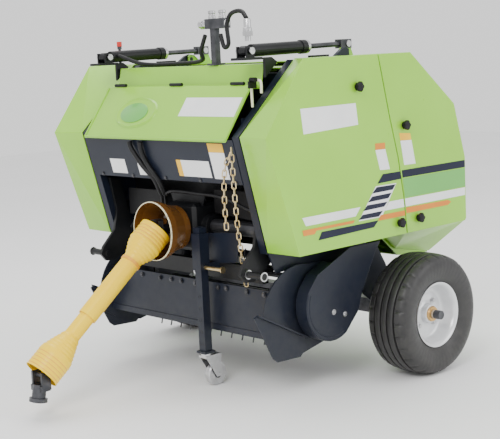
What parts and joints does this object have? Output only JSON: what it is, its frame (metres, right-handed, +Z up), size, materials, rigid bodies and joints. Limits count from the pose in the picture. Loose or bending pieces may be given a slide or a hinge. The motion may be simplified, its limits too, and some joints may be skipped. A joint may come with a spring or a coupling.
{
  "type": "round baler",
  "caption": "Small round baler with side covers, hinged tailgate, pickup under a front guard, cardan drive, caster jack and two pneumatic wheels.",
  "frame": {"origin": "on the floor, under the middle of the object's box", "axes": "-Y to the front (hitch and driveline), +X to the machine's left side, +Z up"},
  "size_m": [1.311, 1.4892, 1.238],
  "materials": {
    "green_paint": "gloss",
    "dark_paint": "satin",
    "black_paint": "satin",
    "yellow_plastic": "gloss",
    "brown_plastic": "gloss",
    "bare_steel": "brushed",
    "dark_steel": "dull",
    "gold_zinc": "plated",
    "tyre_rubber": "satin",
    "silver_rim": "metallic"
  },
  "bodies": {
    "frame": {"axle_beam": "dark_steel", "back_sheet": "black_paint", "bale_gauge": "dark_steel", "chamber_top_sheet": "green_paint", "coupler_post": "dark_steel", "cross_shaft": "dark_steel", "cylinder_mount_left": "black_paint", "cylinder_mount_right": "black_paint", "driveline_bell": "brown_plastic", "frame_side_left": "dark_paint", "frame_side_right": "dark_paint", "front_panel": "dark_paint", "gearbox": "black_paint", "hitch_arm_left": "black_paint", "hitch_arm_right": "black_paint", "jack_sleeve": "dark_paint", "lift_chain": "gold_zinc", "lower_crossbeam": "black_paint", "top_panel": "green_paint", "twine_box": "dark_paint"},
    "twine_lid": {"twine_lid": "green_paint"},
    "tailgate": {"tailgate": "green_paint"},
    "pickup": {"pickup_frame": "dark_paint", "pickup_drive_guard": "dark_paint"},
    "pickup_reel": {"pickup_reel": "dark_steel"},
    "jack": {"jack_leg": "dark_paint"},
    "caster": {"caster_fork": "bare_steel"},
    "caster_wheel": {"caster_wheel": "bare_steel"},
    "driveline_swing": {"driveline_cross": "dark_steel"},
    "driveline_rear": {"driveline_guard_rear": "yellow_plastic"},
    "driveline_front": {"driveline_guard_front": "yellow_plastic", "driveline_shaft_front": "dark_steel"},
    "driveline_yoke": {"driveline_yoke": "dark_steel"},
    "side_cover_left": {"side_cover_left": "green_paint"},
    "rear_cover_left": {"rear_cover_left": "green_paint"},
    "cylinder_barrel_left": {"cylinder_barrel_left": "black_paint"},
    "cylinder_rod_left": {"cylinder_rod_left": "dark_steel"},
    "wheel_left": {"wheel_tyre_left": "tyre_rubber", "wheel_rim_left": "silver_rim"},
    "side_cover_right": {"side_cover_right": "green_paint"},
    "rear_cover_right": {"rear_cover_right": "green_paint"},
    "cylinder_barrel_right": {"cylinder_barrel_right": "black_paint"},
    "cylinder_rod_right": {"cylinder_rod_right": "dark_steel"},
    "wheel_right": {"wheel_tyre_right": "tyre_rubber", "wheel_rim_right": "silver_rim"},
    "front_roller_1": {"front_roller_1": "dark_steel"},
    "front_roller_2": {"front_roller_2": "dark_steel"},
    "front_roller_3": {"front_roller_3": "dark_steel"},
    "front_roller_4": {"front_roller_4": "dark_steel"},
    "front_roller_5": {"front_roller_5": "dark_steel"},
    "rear_roller_1": {"rear_roller_1": "dark_steel"},
    "rear_roller_2": {"rear_roller_2": "dark_steel"},
    "rear_roller_3": {"rear_roller_3": "dark_steel"},
    "rear_roller_4": {"rear_roller_4": "dark_steel"},
    "rear_roller_5": {"rear_roller_5": "dark_steel"}
  },
  "joints": [
    {"name": "twine_lid_hinge", "type": "hinge", "parent": "frame", "child": "twine_lid", "pos_m": [0, -0.1244, 1.004], "axis": [-1, 0, 0], "range_deg": [0, 100]},
    {"name": "side_cover_left_hinge", "type": "hinge", "parent": "frame", "child": "side_cover_left", "pos_m": [0.408, -0.1294, 0.4755], "axis": [0, 0.2508, -0.968], "range_deg": [0, 85]},
    {"name": "side_cover_right_hinge", "type": "hinge", "parent": "frame", "child": "side_cover_right", "pos_m": [-0.408, -0.1294, 0.4755], "axis": [0, -0.2508, 0.968], "range_deg": [0, 85]},
    {"name": "tailgate_hinge", "type": "hinge", "parent": "frame", "child": "tailgate", "pos_m": [0, 0.2756, 1.082], "axis": [1, 0, 0], "range_deg": [0, 65]},
    {"name": "rear_cover_left_hinge", "type": "hinge", "parent": "tailgate", "child": "rear_cover_left", "pos_m": [0.408, 0.7406, 0.6], "axis": [0, 0, 1], "range_deg": [0, 90]},
    {"name": "rear_cover_right_hinge", "type": "hinge", "parent": "tailgate", "child": "rear_cover_right", "pos_m": [-0.408, 0.7406, 0.6], "axis": [0, 0, -1], "range_deg": [0, 90]},
    {"name": "cylinder_left_pivot", "type": "hinge", "parent": "frame", "child": "cylinder_barrel_left", "pos_m": [0.36, -0.1394, 1.104], "axis": [1, 0, 0], "range_deg": [0, 4]},
    {"name": "cylinder_left_stroke", "type": "slide", "parent": "cylinder_barrel_left", "child": "cylinder_rod_left", "axis": [0, 0.9998, 0.0174], "range_m": [-0.056, 0]},
    {"name": "cylinder_right_pivot", "type": "hinge", "parent": "frame", "child": "cylinder_barrel_right", "pos_m": [-0.36, -0.1394, 1.104], "axis": [1, 0, 0], "range_deg": [0, 4]},
    {"name": "cylinder_right_stroke", "type": "slide", "parent": "cylinder_barrel_right", "child": "cylinder_rod_right", "axis": [0, 0.9998, 0.0174], "range_m": [-0.056, 0]},
    {"name": "wheel_left_spin", "type": "hinge", "parent": "frame", "child": "wheel_left", "pos_m": [0.574, 0.4206, 0.2035], "axis": [1, 0, 0], "continuous": true},
    {"name": "wheel_right_spin", "type": "hinge", "parent": "frame", "child": "wheel_right", "pos_m": [-0.574, 0.4206, 0.2035], "axis": [1, 0, 0], "continuous": true},
    {"name": "pickup_lift", "type": "hinge", "parent": "frame", "child": "pickup", "pos_m": [0, 0.2606, 0.3], "axis": [-1, 0, 0], "range_deg": [0, 6]},
    {"name": "pickup_reel_spin", "type": "hinge", "parent": "pickup", "child": "pickup_reel", "pos_m": [0, 0.0606, 0.27], "axis": [1, 0, 0], "continuous": true},
    {"name": "front_roller_1_spin", "type": "hinge", "parent": "frame", "child": "front_roller_1", "pos_m": [0, 0.24908, 0.9813], "axis": [1, 0, 0], "continuous": true},
    {"name": "front_roller_2_spin", "type": "hinge", "parent": "frame", "child": "front_roller_2", "pos_m": [0, 0.10908, 0.87958], "axis": [1, 0, 0], "continuous": true},
    {"name": "front_roller_3_spin", "type": "hinge", "parent": "frame", "child": "front_roller_3", "pos_m": [0, 0.0556, 0.715], "axis": [1, 0, 0], "continuous": true},
    {"name": "front_roller_4_spin", "type": "hinge", "parent": "frame", "child": "front_roller_4", "pos_m": [0, 0.10908, 0.55042], "axis": [1, 0, 0], "continuous": true},
    {"name": "front_roller_5_spin", "type": "hinge", "parent": "frame", "child": "front_roller_5", "pos_m": [0, 0.24908, 0.4487], "axis": [1, 0, 0], "continuous": true},
    {"name": "rear_roller_1_spin", "type": "hinge", "parent": "tailgate", "child": "rear_roller_1", "pos_m": [0, 0.42212, 0.9813], "axis": [1, 0, 0], "continuous": true},
    {"name": "rear_roller_2_spin", "type": "hinge", "parent": "tailgate", "child": "rear_roller_2", "pos_m": [0, 0.5532, 0.89121], "axis": [1, 0, 0], "continuous": true},
    {"name": "rear_roller_3_spin", "type": "hinge", "parent": "tailgate", "child": "rear_roller_3", "pos_m": [0, 0.61407, 0.74427], "axis": [1, 0, 0], "continuous": true},
    {"name": "rear_roller_4_spin", "type": "hinge", "parent": "tailgate", "child": "rear_roller_4", "pos_m": [0, 0.58508, 0.58788], "axis": [1, 0, 0], "continuous": true},
    {"name": "rear_roller_5_spin", "type": "hinge", "parent": "tailgate", "child": "rear_roller_5", "pos_m": [0, 0.4756, 0.47251], "axis": [1, 0, 0], "continuous": true},
    {"name": "jack_travel", "type": "slide", "parent": "frame", "child": "jack", "axis": [0, 0, 1], "range_m": [0, 0.06]},
    {"name": "caster_swivel", "type": "hinge", "parent": "jack", "child": "caster", "pos_m": [0.125, -0.1624, 0.11], "axis": [0, 0, 1], "continuous": true},
    {"name": "caster_wheel_spin", "type": "hinge", "parent": "caster", "child": "caster_wheel", "pos_m": [0.125, -0.1244, 0.04], "axis": [1, 0, 0], "continuous": true},
    {"name": "driveline_swing", "type": "hinge", "parent": "frame", "child": "driveline_swing", "pos_m": [0, -0.2444, 0.53], "axis": [0, 0, 1], "range_deg": [-15, 15]},
    {"name": "driveline_tilt", "type": "hinge", "parent": "driveline_swing", "child": "driveline_rear", "pos_m": [0, -0.2444, 0.53], "axis": [-1, 0, 0], "range_deg": [0, 60]},
    {"name": "driveline_telescope", "type": "slide", "parent": "driveline_rear", "child": "driveline_front", "axis": [-0.0745, -0.753, -0.6537], "range_m": [-0.06, 0.06]},
    {"name": "driveline_yoke_joint", "type": "hinge", "parent": "driveline_front", "child": "driveline_yoke", "pos_m": [-0.045, -0.6994, 0.135], "axis": [1, 0, 0], "range_deg": [-40, 10]}
  ],
  "couplings": [
    {"joint": "cylinder_left_pivot", "follows": "tailgate_hinge", "ratio": 0.0528},
    {"joint": "cylinder_right_pivot", "follows": "tailgate_hinge", "ratio": 0.0528},
    {"joint": "cylinder_left_stroke", "follows": "tailgate_hinge", "m_per_rad": -0.0459},
    {"joint": "cylinder_right_stroke", "follows": "tailgate_hinge", "m_per_rad": -0.0459},
    {"joint": "front_roller_2_spin", "follows": "front_roller_1_spin", "ratio": 1},
    {"joint": "front_roller_3_spin", "follows": "front_roller_1_spin", "ratio": 1},
    {"joint": "front_roller_4_spin", "follows": "front_roller_1_spin", "ratio": 1},
    {"joint": "front_roller_5_spin", "follows": "front_roller_1_spin", "ratio": 1},
    {"joint": "rear_roller_1_spin", "follows": "front_roller_1_spin", "ratio": 1},
    {"joint": "rear_roller_2_spin", "follows": "front_roller_1_spin", "ratio": 1},
    {"joint": "rear_roller_3_spin", "follows": "front_roller_1_spin", "ratio": 1},
    {"joint": "rear_roller_4_spin", "follows": "front_roller_1_spin", "ratio": 1},
    {"joint": "rear_roller_5_spin", "follows": "front_roller_1_spin", "ratio": 1}
  ]
}
